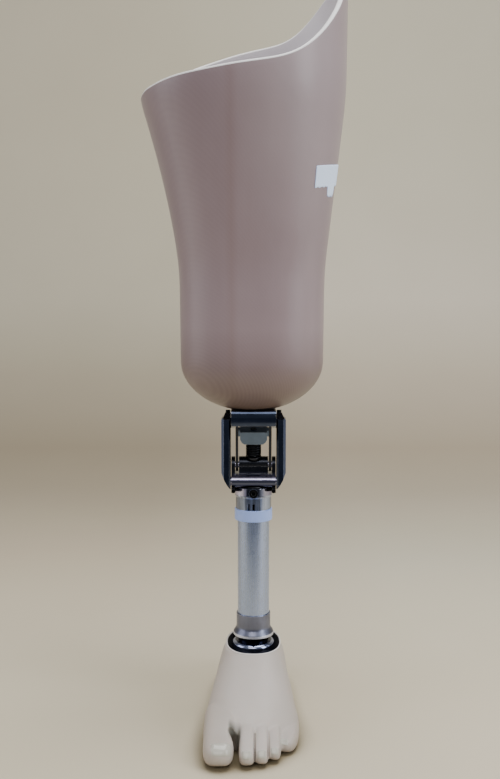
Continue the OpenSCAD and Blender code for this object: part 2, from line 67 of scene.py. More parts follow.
class Nodes:
    """A short way to build one material's node tree."""

    def __init__(self, name):
        self.material = bpy.data.materials.new(name)
        self.material.use_nodes = True
        self.tree = self.material.node_tree
        self.shader = self.tree.nodes["Principled BSDF"]
        self.coords = self.add("ShaderNodeTexCoord").outputs["Object"]

    def add(self, kind, **values):
        node = self.tree.nodes.new(kind)
        for key, value in values.items():
            setattr(node, key, value)
        return node

    def link(self, out, socket):
        self.tree.links.new(out, socket)

    def set(self, **values):
        for key, value in values.items():
            self.shader.inputs[key.replace("_", " ")].default_value = value

    def mapped(self, scale=(1, 1, 1), location=(0, 0, 0)):
        """The object's coordinates, scaled and moved."""
        node = self.add("ShaderNodeMapping")
        node.inputs["Scale"].default_value = scale
        node.inputs["Location"].default_value = location
        self.link(self.coords, node.inputs["Vector"])
        return node.outputs["Vector"]

    def noise(self, size, detail=4.0, rough=0.55, scale=(1, 1, 1), location=(0, 0, 0)):
        """Noise whose blobs are about size metres across, stretched by scale."""
        node = self.add("ShaderNodeTexNoise")
        node.inputs["Scale"].default_value = 1 / size
        node.inputs["Detail"].default_value = detail
        node.inputs["Roughness"].default_value = rough
        self.link(self.mapped(scale, location), node.inputs["Vector"])
        return node.outputs["Fac"]

    def ramp(self, value, stops):
        """Colour ramp from (position, colour) stops."""
        node = self.add("ShaderNodeValToRGB")
        elements = node.color_ramp.elements
        while len(elements) < len(stops):
            elements.new(0.5)
        for element, (position, colour) in zip(elements, stops):
            element.position = position
            element.color = colour
        self.link(value, node.inputs["Fac"])
        return node.outputs["Color"]

    def span(self, value, low, high, out_low, out_high):
        """Maps low..high to out_low..out_high and clamps."""
        node = self.add("ShaderNodeMapRange")
        limits = {"From Min": low, "From Max": high, "To Min": out_low, "To Max": out_high}
        for key, number in limits.items():
            node.inputs[key].default_value = number
        self.link(value, node.inputs["Value"])
        return node.outputs["Result"]

    def mix(self, factor, a, b, blend="MIX"):
        """Colour b over a by factor."""
        node = self.add("ShaderNodeMix", data_type="RGBA", blend_type=blend)
        for socket, value in ((node.inputs[0], factor), (node.inputs[6], a), (node.inputs[7], b)):
            if isinstance(value, (tuple, float, int)):
                socket.default_value = value
            else:
                self.link(value, socket)
        return node.outputs[2]

    def math(self, operation, a, b):
        """One sum on sockets or numbers."""
        node = self.add("ShaderNodeMath", operation=operation)
        for socket, value in zip(node.inputs, (a, b)):
            if isinstance(value, (float, int)):
                socket.default_value = value
            else:
                self.link(value, socket)
        return node.outputs[0]

    def axis(self, name):
        """One coordinate, in metres."""
        node = self.add("ShaderNodeSeparateXYZ")
        self.link(self.coords, node.inputs[0])
        return node.outputs[name]

    def away_from(self, coordinate, place):
        """Distance of a coordinate from a place on its axis."""
        return self.math("ABSOLUTE", self.math("ADD", coordinate, -place), 0.0)

    def two_tone(self, pattern, dark, light):
        """Base colour between two tones of a noise pattern."""
        tones = self.ramp(pattern, [(0.3, rgb(*dark)), (0.7, rgb(*light))])
        self.link(tones, self.shader.inputs["Base Color"])

    def uneven(self, pattern, low, high):
        """Roughness that follows a noise pattern."""
        self.link(self.span(pattern, 0.3, 0.7, low, high), self.shader.inputs["Roughness"])

    def worn(self, distance):
        """1 on flat ground, other values along edges within distance."""
        node = self.add("ShaderNodeBevel", samples=4)
        node.inputs["Radius"].default_value = distance
        dot = self.add("ShaderNodeVectorMath", operation="DOT_PRODUCT")
        normal = self.add("ShaderNodeNewGeometry").outputs["Normal"]
        self.link(node.outputs[0], dot.inputs[0])
        self.link(normal, dot.inputs[1])
        return dot.outputs["Value"]

    def bump(self, height, strength, distance):
        node = self.add("ShaderNodeBump")
        node.inputs["Strength"].default_value = strength
        node.inputs["Distance"].default_value = distance
        self.link(height, node.inputs["Height"])
        return node

    def bumps(self, *layers):
        """Stacks (height, strength, distance) layers on the shader's normal."""
        last = None
        for height, strength, distance in layers:
            node = self.bump(height, strength, distance)
            if last:
                self.link(last.outputs["Normal"], node.inputs["Normal"])
            last = node
        self.link(last.outputs["Normal"], self.shader.inputs["Normal"])


def laminate_material():
    """Skin-coloured fabric laminate under a clear satin resin."""
    m = Nodes("socket_laminate")
    broad = m.noise(0.09, 3.0, 0.5, scale=(1, 1, 0.45))
    streak = m.noise(0.02, 3.0, 0.5, scale=(1, 1, 0.12), location=(3, 1, 0))
    knit = m.add("ShaderNodeTexWave", wave_type="BANDS", bands_direction="DIAGONAL")
    knit.inputs["Scale"].default_value = 190.0
    m.link(m.coords, knit.inputs["Vector"])
    base = m.ramp(broad, [(0.32, rgb(0.325, 0.242, 0.258)), (0.5, rgb(0.35, 0.265, 0.28)),
                          (0.7, rgb(0.38, 0.288, 0.302))])
    base = m.mix(m.span(streak, 0.35, 0.75, 0.0, 0.35), base, rgb(0.295, 0.21, 0.215))
    # Painted shade medially (cooler and darker), painted light laterally (lighter), and a seam down the
    # front
    side, height = m.axis("X"), m.axis("Z")
    base = m.mix(m.span(side, -0.01, -0.07, 0.0, 0.4), base, rgb(0.26, 0.208, 0.24))
    base = m.mix(m.span(side, 0.03, 0.07, 0.0, 0.45), base, rgb(0.385, 0.32, 0.34))
    base = m.mix(m.span(m.away_from(side, -0.019), 0.0, 0.006, 0.3, 0.0), base, rgb(0.27, 0.18, 0.17))
    # Lighter where the light falls on the flare
    flare = m.math("MULTIPLY", m.span(side, -0.02, 0.015, 0.0, 0.55), m.span(height, 0.44, 0.52, 0.0, 1.0))
    base = m.mix(flare, base, rgb(0.46, 0.375, 0.39))
    # Painted shade under the bowl: browner towards the closed end
    base = m.mix(m.span(height, 0.365, 0.292, 0.0, 0.95), base, rgb(0.125, 0.082, 0.066))
    base = m.mix(m.span(knit.outputs["Fac"], 0.0, 1.0, 0.0, 0.05), base, rgb(0.5, 0.4, 0.37))
    m.link(base, m.shader.inputs["Base Color"])
    m.uneven(broad, 0.46, 0.38)
    m.set(Coat_Weight=0.25, Coat_Roughness=0.3)
    m.bumps((m.noise(0.035, 2.0), 0.18, 0.004), (m.noise(0.0022, 2.0), 0.06, 0.0004))
    return m.material


def lining_material():
    """Pale lavender-grey inner face of the laminate."""
    m = Nodes("socket_lining")
    broad = m.noise(0.06, 3.0)
    m.two_tone(broad, (0.62, 0.58, 0.61), (0.72, 0.68, 0.70))
    m.uneven(broad, 0.5, 0.4)
    m.bumps((m.noise(0.003, 2.0), 0.1, 0.0004))
    return m.material


def edge_material():
    """White cut edge of the laminate."""
    m = Nodes("socket_edge")
    grain = m.noise(0.0015, 3.0, scale=(1, 1, 4))
    m.two_tone(grain, (0.86, 0.84, 0.82), (0.95, 0.94, 0.93))
    m.uneven(grain, 0.42, 0.55)
    m.bumps((grain, 0.2, 0.0003))
    return m.material


def skin_material():
    """Soft matt polyurethane skin of the foot."""
    m = Nodes("foot_skin")
    broad = m.noise(0.05, 3.0)
    fine = m.noise(0.006, 3.0, location=(2, 5, 1))
    base = m.ramp(broad, [(0.3, rgb(0.505, 0.45, 0.40)), (0.5, rgb(0.53, 0.48, 0.435)),
                          (0.72, rgb(0.56, 0.50, 0.46))])
    base = m.mix(m.span(fine, 0.45, 0.8, 0.0, 0.12), base, rgb(0.60, 0.50, 0.46))
    # Painted shade: a deeper tone on the flanks and, near the ground, on the toes' fronts
    across, length = m.axis("X"), m.axis("Y")
    base = m.mix(m.span(m.away_from(across, -0.002), 0.014, 0.04, 0.0, 0.6), base, rgb(0.385, 0.33, 0.28))
    base = m.mix(m.span(m.axis("Z"), 0.012, 0.0, 0.0, 0.6), base, rgb(0.30, 0.235, 0.19))
    # Painted shade in the gap beside the big toe
    gap = m.span(m.away_from(across, -0.0165), 0.006, 0.004, 0.0, 0.8)
    gap = m.math("MULTIPLY", gap, m.span(length, -0.096, -0.103, 0.0, 1.0))
    gap = m.math("MULTIPLY", gap, m.span(length, -0.110, -0.119, 1.0, 0.0))
    base = m.mix(gap, base, rgb(0.12, 0.12, 0.095))
    m.link(base, m.shader.inputs["Base Color"])
    m.uneven(fine, 0.42, 0.5)
    m.set(Subsurface_Weight=0.12, Subsurface_Scale=0.004, Specular_IOR_Level=0.45)
    m.shader.inputs["Subsurface Radius"].default_value = (1.0, 0.5, 0.35)
    m.bumps((m.noise(0.012, 3.0), 0.12, 0.002), (m.noise(0.0011, 2.0), 0.12, 0.0002))
    return m.material


def nail_material():
    """Glossy nail with fine ridges along it."""
    m = Nodes("foot_nail")
    ridge = m.noise(0.0012, 2.0, scale=(1, 0.15, 0.15))
    m.two_tone(ridge, (0.46, 0.445, 0.385), (0.51, 0.49, 0.43))
    m.uneven(ridge, 0.14, 0.2)
    m.bumps((ridge, 0.1, 0.0002))
    return m.material


def metal_material(name, colour, rough, grain=(1, 1, 1), grain_size=0.001, depth=0.1, bright=0.25,
                   mottle=0.78, tint=None):
    """Metal with a fine grain, slight stains and lighter worn edges; tint may colour it by place, which is
    painted shade on the sleeve and a painted reflection on the adapter.
    """
    m = Nodes(name)
    lines = m.noise(grain_size, 3.0, 0.6, scale=grain)
    stain = m.noise(0.012, 4.0, location=(4, 2, 7))
    dark = tuple(c * mottle for c in colour)
    light = tuple(min(1.0, c + bright) for c in colour)
    base = m.ramp(stain, [(0.3, rgb(*dark)), (0.65, rgb(*colour))])
    if tint:
        base = tint(m, base)
    edge = m.span(m.worn(0.0006), 0.75, 0.98, 0.9, 0.0)
    base = m.mix(edge, base, rgb(*light))
    m.link(base, m.shader.inputs["Base Color"])
    stained = m.span(stain, 0.3, 0.7, rough - 0.03, rough + 0.05)
    m.link(m.math("ADD", m.span(lines, 0.3, 0.7, -0.04, 0.05), stained), m.shader.inputs["Roughness"])
    m.set(Metallic=1.0)
    m.bumps((lines, depth, 0.0001))
    return m.material


def clamp_tint(m, base):
    """Polished lower rim of the ankle clamp."""
    rim = m.span(m.axis("Z"), 0.0735, 0.0742, 1.0, 0.0)
    return m.mix(rim, base, rgb(0.66, 0.70, 0.84))


def sleeve_painted_shade(m, base):
    """Painted shade: a dark blue on the sleeve's underside."""
    return m.mix(m.span(m.axis("Z"), 0.2236, 0.2222, 0.0, 1.0), base, rgb(0.085, 0.095, 0.15))


def adapter_streaks_and_painted_reflection(m, base):
    """Drawn streaks on the skirt, and a painted reflection on the flange: a dark front between bright
    corners.
    """
    side = m.axis("X")
    streak = m.noise(0.0035, 2.0, scale=(1, 1, 0.03))
    skirt = m.mix(m.span(streak, 0.42, 0.6, 0.0, 0.75), base, rgb(0.15, 0.17, 0.21))
    # Painted reflection on the flange: bright lilac corners and a dark front
    lilac, dark = rgb(0.62, 0.60, 0.80), rgb(0.05, 0.055, 0.08)
    flange = m.ramp(m.span(side, -0.02, 0.02, 0.0, 1.0),
                    [(0.1, lilac), (0.32, lilac), (0.345, dark), (0.62, dark),
                     (0.66, rgb(0.40, 0.42, 0.52)), (0.9, rgb(0.30, 0.28, 0.40))])
    return m.mix(m.span(m.axis("Z"), 0.2078, 0.2082, 0.0, 1.0), skirt, flange)


def ring_material():
    """Blued ring, polished on its round shoulder; inside it, a painted dark reflection on its top and neck.
    """
    m = Nodes("blue_chrome")
    stain = m.noise(0.01, 4.0, location=(4, 2, 7))
    radius = m.add("ShaderNodeVectorMath", operation="LENGTH")
    flat = m.add("ShaderNodeVectorMath", operation="MULTIPLY")
    flat.inputs[1].default_value = (1.0, 1.0, 0.0)
    m.link(m.coords, flat.inputs[0])
    m.link(flat.outputs["Vector"], radius.inputs[0])
    shoulder = m.span(radius.outputs["Value"], 0.0168, 0.0182, 0.0, 1.0)
    polished = m.ramp(stain, [(0.3, rgb(0.30, 0.34, 0.52)), (0.7, rgb(0.42, 0.47, 0.66))])
    # Painted dark reflection: near-black inside the shoulder
    m.link(m.mix(shoulder, rgb(0.02, 0.024, 0.05), polished), m.shader.inputs["Base Color"])
    m.uneven(stain, 0.12, 0.18)
    m.set(Metallic=1.0)
    m.bumps((m.noise(0.001, 2.0), 0.08, 0.0001))
    return m.material


def plastic_material(name, colour, rough):
    """Moulded plastic with a faint grain."""
    m = Nodes(name)
    grain = m.noise(0.0012, 3.0)
    broad = m.noise(0.02, 3.0, location=(1, 8, 2))
    m.two_tone(broad, [c * 0.92 for c in colour], colour)
    m.uneven(broad, rough - 0.03, rough + 0.05)
    m.bumps((grain, 0.08, 0.0002))
    return m.material


def foam_material(name, colour):
    """Open-celled foam."""
    m = Nodes(name)
    cells = m.add("ShaderNodeTexVoronoi")
    cells.inputs["Scale"].default_value = 900.0
    m.link(m.coords, cells.inputs["Vector"])
    broad = m.noise(0.02, 3.0)
    m.two_tone(broad, [c * 0.85 for c in colour], colour)
    m.uneven(broad, 0.85, 0.95)
    m.bumps((cells.outputs["Distance"], 0.4, 0.0005))
    return m.material


def paper_material():
    """Fibrous bluish-white paper, brightened a little by a painted glow."""
    m = Nodes("paper_label")
    fibre = m.noise(0.0012, 4.0)
    m.two_tone(fibre, (0.78, 0.88, 1.0), (0.84, 0.93, 1.0))
    m.uneven(fibre, 0.6, 0.7)
    # Painted glow: the paper emits a little bluish light
    m.set(Emission_Color=rgb(0.35, 0.55, 1.0), Emission_Strength=0.36)
    m.bumps((fibre, 0.25, 0.0002))
    return m.material


MATERIALS = {
    "laminate": laminate_material(),
    "lining": lining_material(),
    "edge": edge_material(),
    "skin": skin_material(),
    "nail": nail_material(),
    "paper": paper_material(),
    "pad": foam_material("pad_foam", (0.72, 0.70, 0.64)),
    "cushion": foam_material("cushion_foam", (0.08, 0.07, 0.065)),
    "dark_chrome": metal_material("dark_chrome", (0.055, 0.07, 0.115), 0.15, bright=0.4),
    "black_steel": metal_material("black_steel", (0.03, 0.033, 0.042), 0.28),
    "black_screw": metal_material("black_screw", (0.012, 0.012, 0.014), 0.35),
    "spring": metal_material("spring_black", (0.015, 0.016, 0.018), 0.3),
    "chrome": metal_material("polished_steel", (0.42, 0.41, 0.56), 0.12, bright=0.2),
    "sleeve": metal_material("sleeve_steel", (0.44, 0.43, 0.60), 0.15, bright=0.2, tint=sleeve_painted_shade),
    "adapter": metal_material("adapter_steel", (0.41, 0.48, 0.67), 0.16, depth=0.05, bright=0.3, mottle=0.9,
                              tint=adapter_streaks_and_painted_reflection),
    "steel": metal_material("plate_steel", (0.52, 0.52, 0.54), 0.3, grain=(1, 1, 8), bright=0.1),
    "bronze": metal_material("bronze", (0.55, 0.36, 0.14), 0.3),
    "cup": metal_material("cup_grey", (0.13, 0.175, 0.25), 0.34),
    "tube": metal_material("tube_aluminium", (0.405, 0.485, 0.70), 0.26, grain=(1, 1, 0.05),
                           grain_size=0.0008, depth=0.05, bright=0.1, mottle=0.96),
    "clamp": metal_material("clamp_steel", (0.215, 0.23, 0.31), 0.36, grain=(1, 1, 14), grain_size=0.0015,
                            bright=0.5, tint=clamp_tint),
    "blue_chrome": ring_material(),
    "collar": plastic_material("collar_white", (0.385, 0.53, 1.0), 0.3),
    "washer": plastic_material("black_plastic", (0.03, 0.03, 0.03), 0.5),
    # Near-black faces inside the ankle opening are painted shade
    "recess": plastic_material("recess_painted_shade", (0.012, 0.012, 0.014), 0.7),
    # The bead's pale colour is a painted highlight along the ankle opening's rim
    "rim": plastic_material("rim_painted_highlight", (0.86, 0.83, 0.80), 0.55),
}

CAD_LOOKS = {
    "steel": ("anchor_plate", "knee_pyramid", "foot_bolt_washer"),
    "black_screw": ("anchor_screws", "upper_rear_stubs", "axle_lock_screws", "upper_set_screws",
                    "clamp_screw", "foot_bolt", "link_lock_screws"),
    "dark_chrome": ("upper_frame", "outer_link_medial", "outer_link_lateral"),
    "chrome": ("upper_front_axle", "lower_front_axle", "lower_rear_axle"),
    "sleeve": ("front_hub_sleeve",),
    "adapter": ("upper_tube_adapter",),
    "black_steel": ("inner_link_medial", "inner_link_lateral", "lower_frame", "assist_plunger"),
    "bronze": ("stub_bushes",),
    "cup": ("assist_cup",),
    "collar": ("tube_collar",),
    "tube": ("pylon_tube",),
    "clamp": ("tube_clamp",),
    "blue_chrome": ("foot_adapter",),
    "washer": ("thrust_washers", "foot_keel"),
    "cushion": ("heel_cushion",),
    "skin": ("sole_plug", "foot_shell"),
    "spring": ("assist_spring",),
    "pad": ("distal_pad",),
    "laminate": ("socket_shell",),
}

for look, names in CAD_LOOKS.items():
    for name in names:
        mesh = NODES[name].data
        mesh.materials.clear()
        mesh.materials.append(MATERIALS[look])


# ---------------------------------------------------------------- shapes shared by the pieces

def spline(a, b, c, d, t):
    """Catmull-Rom between b and c, for numbers or Vectors."""
    square = 2 * a - 5 * b + 4 * c - d
    cube = 3 * b - a - 3 * c + d
    return 0.5 * (2 * b + (c - a) * t + square * t * t + cube * t ** 3)


def power(value, exponent):
    """A power that keeps the sign, for rounded rectangles and ovals."""
    return math.copysign(abs(value) ** exponent, value)


def smoothstep(t):
    """0 to 1 with eased ends, clamped."""
    t = max(0.0, min(1.0, t))
    return t * t * (3 - 2 * t)


def along(rows, steps):
    """Rows of numbers, interpolated with steps places between each two."""
    made = []
    last = len(rows) - 1
    for i in range(last):
        before, after = rows[max(0, i - 1)], rows[min(last, i + 2)]
        for k in range(steps):
            made.append([spline(p, q, r, s, k / steps)
                         for p, q, r, s in zip(before, rows[i], rows[i + 1], after)])
    made.append(list(rows[-1]))
    return made


def tube_mesh(rings, closed=False, unit=MM):
    """Faces over rings of equally many points, in mm unless another unit is given, with capped ends."""
    made = bmesh.new()
    verts = [[made.verts.new(Vector(p) * unit) for p in ring] for ring in rings]
    count = len(rings[0])
    pairs = list(zip(verts, verts[1:]))
    if closed:
        pairs.append((verts[-1], verts[0]))
    for low, high in pairs:
        for i in range(count):
            j = (i + 1) % count
            made.faces.new((low[i], low[j], high[j], high[i]))
    if not closed:
        made.faces.new(list(reversed(verts[0])))
        made.faces.new(verts[-1])
    bmesh.ops.recalc_face_normals(made, faces=made.faces)
    return made


def add_plate(made, grid):
    """Adds a thin plate to made; grid[i][j] is a pair of an upper and a lower point, in metres."""
    grid = [[[made.verts.new(p) for p in pair] for pair in column] for column in grid]
    across, up = len(grid) - 1, len(grid[0]) - 1
    for i in range(across):
        for j in range(up):
            quad = [grid[i][j], grid[i + 1][j], grid[i + 1][j + 1], grid[i][j + 1]]
            made.faces.new([pair[0] for pair in quad])
            made.faces.new([pair[1] for pair in reversed(quad)])
    border = ([grid[i][0] for i in range(across + 1)] + [grid[across][j] for j in range(1, up + 1)]
              + [grid[i][up] for i in range(across - 1, -1, -1)]
              + [grid[0][j] for j in range(up - 1, 0, -1)])
    for p, q in zip(border, border[1:] + border[:1]):
        made.faces.new((p[0], p[1], q[1], q[0]))


def add_object(name, made, *materials):
    """Turns a bmesh into a smooth-shaded object."""
    mesh = bpy.data.meshes.new(name)
    made.to_mesh(mesh)
    made.free()
    for face in mesh.polygons:
        face.use_smooth = True
    for material in materials:
        mesh.materials.append(material)
    obj = bpy.data.objects.new(name, mesh)
    SCENE.collection.objects.link(obj)
    return obj


def bake_modifiers(obj):
    """Replaces obj's mesh by what its modifiers make of it."""
    bpy.context.view_layer.update()
    shown = obj.evaluated_get(bpy.context.evaluated_depsgraph_get())
    mesh = bpy.data.meshes.new_from_object(shown)
    mesh.name = obj.name
    obj.modifiers.clear()
    obj.data = mesh


def carve(obj, *tools):
    """Cuts the tools out of obj and removes them."""
    for tool in tools:
        change = obj.modifiers.new("carve", "BOOLEAN")
        change.operation = "DIFFERENCE"
        change.solver = "EXACT"
        change.object = tool
    bake_modifiers(obj)
    for tool in tools:
        bpy.data.objects.remove(tool)


def cylinder_tool(radius, low, high, x=0.0, y=0.0, sides=48):
    """Upright cylinder in mm, for carving."""
    made = tube_mesh([[(x + radius * math.cos(2 * math.pi * k / sides),
                        y + radius * math.sin(2 * math.pi * k / sides), z) for k in range(sides)]
                      for z in (low, high)])
    return add_object("tool", made)


def copy_of(node):
    """A welded copy of a CAD node's mesh, for carving."""
    made = bmesh.new()
    made.from_mesh(NODES[node].data)
    bmesh.ops.remove_doubles(made, verts=made.verts, dist=1e-6)
    return add_object("tool", made)


# ---------------------------------------------------------------- socket

# In mm, after the CAD's socket: height of the closed end, wall, half sizes below and above the flare, the
# bowl at the end, the heights between which the wall flares, and the rim's height every 30 degrees
SOCKET_Z = 289
WALL = 4.5
END_HALF = (66, 56)
BRIM_HALF = (91, 86)
BOWL_H, BOWL_DROP, FLOOR_T = 47, 2, 6
FLARE = (121, 279)
RIM = (389, 375, 348, 336, 319, 295, 277, 279, 284, 290, 303, 341)
LIP = 1.7
SOCKET_SIDES = 180
SQUARENESS = 0.91


def rim_height(angle):
    """Height of the rim above the closed end."""
    s = angle / 30 % 12
    i = int(s)
    return spline(RIM[i - 1], RIM[i], RIM[(i + 1) % 12], RIM[(i + 2) % 12], s - i)


def flare_at(h):
    """0 below the flare, 1 above it, with both ends rounded off."""
    places = [(h + shift - FLARE[0]) / (FLARE[1] - FLARE[0]) for shift in range(-15, 16, 5)]
    return sum(max(0.0, min(1.0, place)) for place in places) / len(places)


def wall_point(angle, h, half_w, half_d):
    """A point round the socket's axis, which leans medially in the flare and forward all the way up."""
    a = math.radians(angle)
    middle_x = -1.5 - 8.5 * flare_at(h) ** 2
    middle_y = -2 - 0.1 * max(0.0, h - 10)
    return Vector((middle_x + half_w * power(math.cos(a), SQUARENESS),
                   middle_y + half_d * power(math.sin(a), SQUARENESS), SOCKET_Z + h))


def side_point(angle, h, inset):
    """A point of the wall, inset mm inside its outer face."""
    g = flare_at(h) ** 1.3
    half_w, half_d = (end + (brim - end) * g - inset for end, brim in zip(END_HALF, BRIM_HALF))
    return wall_point(angle, h, half_w, half_d)


def bowl_points(angle, inset, floor, count):
    """Points of the rounded closed end from height floor up to the wall."""
    depth, low = BOWL_H - inset, inset - BOWL_DROP
    start = math.acos(1 - (floor - low) / depth)
    points = []
    for k in range(count):
        t = start + (math.pi / 2 - start) * k / count
        points.append(wall_point(angle, low + depth * (1 - math.cos(t)),
                                 (END_HALF[0] - inset) * math.sin(t), (END_HALF[1] - inset) * math.sin(t)))
    return points


def socket_column(angle):
    """Points from the closed end up the outside, over the lip and down the inside, with a zone for each."""
    hand_cut = 0.35 * math.sin(math.radians(7 * angle)) * math.sin(math.radians(3 * angle + 40))
    top = rim_height(angle) + hand_cut
    low = BOWL_H - BOWL_DROP
    column = [(p, 0) for p in bowl_points(angle, 0, 0, 16)]
    rise = [k / 56 for k in range(57)]
    column += [(side_point(angle, low + (top - LIP - low) * t, 0), 0) for t in rise]
    for k in range(1, 7):
        a = math.radians(90 * k / 6)
        column.append((side_point(angle, top - LIP + LIP * math.sin(a), LIP * (1 - math.cos(a))), 1))
    for k in range(6):
        a = math.radians(90 - 90 * k / 6)
        column.append((side_point(angle, top - LIP + LIP * math.sin(a), WALL - LIP * (1 - math.cos(a))), 1))
    column += [(side_point(angle, low + (top - LIP - low) * t, WALL), 2) for t in reversed(rise)]
    column += [(p, 2) for p in reversed(bowl_points(angle, WALL, FLOOR_T, 12))]
    return column


def build_socket():
    """Laminated shell with a rolled white edge and a pale lining."""
    columns = [socket_column(360 * k / SOCKET_SIDES) for k in range(SOCKET_SIDES)]
    zones = [zone for _, zone in columns[0]]
    made = tube_mesh([[p for p, _ in column] for column in zip(*columns)])
    made.faces.ensure_lookup_table()
    for i, face in enumerate(made.faces):
        ring = i // SOCKET_SIDES
        if ring + 1 < len(zones):
            face.material_index = 1 if 1 in (zones[ring], zones[ring + 1]) else zones[ring + 1]
        elif face is made.faces[len(made.faces) - 1]:
            face.material_index = 2
    socket = add_object("socket", made, MATERIALS["laminate"], MATERIALS["edge"], MATERIALS["lining"])
    screw_radius = 2.75
    screws = [(x, y) for y in (-13.5, 8.5) for x in (-9, 9)]
    carve(socket, *(cylinder_tool(screw_radius, SOCKET_Z - 2, SOCKET_Z + FLOOR_T + 2, x, y)
                    for x, y in screws))
    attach(socket, "thigh")
    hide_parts("socket_shell")


def build_pad():
    """Foam pad in the socket's end: crowned, with a rounded rim."""
    clear, rounding, crown = WALL + 1.2, 1.5, 3.6
    rings = []
    low, high = FLOOR_T + 4.8, 22.0
    for h in (low, low + 1.2, 14, 18, high - rounding):
        c = 1 - (h - clear + BOWL_DROP) / (BOWL_H - clear)
        s = math.sqrt(1 - c * c)
        inset = 1.2 if h == low else 0.0
        rings.append((h, (END_HALF[0] - clear) * s - inset, (END_HALF[1] - clear) * s - inset))
    edge_w, edge_d = rings[-1][1:]
    for k in range(1, 9):
        a = math.radians(90 * k / 8)
        share = math.cos(a) if k < 8 else 0.02
        rings.append((high - rounding + crown * math.sin(a), edge_w * share ** 0.35, edge_d * share ** 0.35))
    made = tube_mesh([[wall_point(360 * k / 96, h, w, d) for k in range(96)] for h, w, d in rings])
    pad = add_object("distal_pad_foam", made, MATERIALS["pad"])
    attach(pad, "thigh")
    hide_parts("distal_pad")


# Paper label on the lateral side: angles round the socket, heights above its closed end at the front corner,
# and the rise towards the back
LABEL = {"angles": (-45.3, -3.0), "heights": (196.0, 213.8), "tab_angles": (-29.5, -15.5), "tab_low": 187.6,
         "rise": 7.0}


def build_label():
    """Blank sticker with a torn tab at its lower edge."""
    a0, a1 = LABEL["angles"]
    h0, h1 = LABEL["heights"]
    across, up = 48, 20
    thick, glue = 0.25, 0.12

    def row_pair(angle, h):
        curl = 0.25 * smoothstep((abs(angle - (a0 + a1) / 2) / ((a1 - a0) / 2) - 0.9) * 10)
        lift = glue + curl
        return side_point(angle, h, -lift - thick) * MM, side_point(angle, h, -lift) * MM

    def low_edge(angle):
        torn = 0.5 * math.sin(angle * 1.3) + 0.3 * math.sin(angle * 3.7 + 1)
        t0, t1 = LABEL["tab_angles"]
        tab = smoothstep((angle - t0) / 1.2) * smoothstep((t1 - angle) / 1.2)
        notch = 1.2 * math.sin(angle * 2.9) * tab
        return h0 + torn * 0.6 + (LABEL["tab_low"] - h0 + notch) * tab

    grid = []
    for i in range(across + 1):
        angle = a0 + (a1 - a0) * i / across
        low, rise = low_edge(angle), LABEL["rise"] * i / across
        grid.append([row_pair(angle, rise + low + (h1 - low) * j / up) for j in range(up + 1)])
    made = bmesh.new()
    add_plate(made, grid)
    bmesh.ops.recalc_face_normals(made, faces=made.faces)
    label = add_object("paper_label", made, MATERIALS["paper"])
    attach(label, "thigh")


# ---------------------------------------------------------------- assist spring

# Coil of the extension assist in mm: its ends as distances from the inner links' pivot, half the thickness
# of its wire, and its radius to the wire's middle
COIL = {"start": 10.5, "end": 26.5, "wire": 1.08, "radius": 6.15}


def build_spring():
    """Smooth coil with closed ends, on the axis from the shoe to the cup."""
    joint = next(j for j in frame["joints"] if j["name"] == "plunger_slide")
    axis = Vector(joint["axis"]).normalized()
    side = Vector((1, 0, 0))
    other = axis.cross(side)
    foot = Vector(PIVOT_C) * MM
    start, end, wire, radius = (COIL[key] * MM for key in ("start", "end", "wire", "radius"))
    turns, steps, around = 6.6, 40, 14
    rings = []
    total = int(turns * steps)
    for k in range(total + 1):
        t = k / total
        a = 2 * math.pi * turns * t
        closing = smoothstep((t - 0.5) * 2) - smoothstep(1 - t * 2)
        eased = t + 0.035 * closing * (1 - abs(2 * t - 1))
        out = side * math.cos(a) + other * math.sin(a)
        middle = foot + axis * (start + (end - start) * eased) + out * radius
        taper = wire * (1 if 0 < k < total else 0.6)
        rings.append([middle + (out * math.cos(b) + axis * math.sin(b)) * taper
                      for b in (2 * math.pi * j / around for j in range(around))])
    made = tube_mesh(rings, unit=1)
    spring = add_object("assist_coil", made, MATERIALS["spring"])
    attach(spring, "inner_links")
    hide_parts("assist_spring")
    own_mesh(spring)


# ---------------------------------------------------------------- foot

# Stations from heel to ball as [y, medial x, lateral x, top z], in mm
FOOT = [[84, -4, 4, 17], [82.5, -11, 11, 28], [80, -16, 16, 38], [70, -22, 22, 50],
        [56, -25.5, 25.5, 60], [46, -27, 27, 67], [30, -29, 29, 76], [0, -31.5, 31, 81],
        [-30, -35, 32.8, 72], [-43, -37.6, 35.2, 63.5], [-60, -41.2, 37.5, 50], [-80, -43.8, 40.2, 38],
        [-90, -44.3, 40, 31], [-97, -43, 38, 25.5], [-102, -38, 33, 19], [-104, -28, 26, 13]]
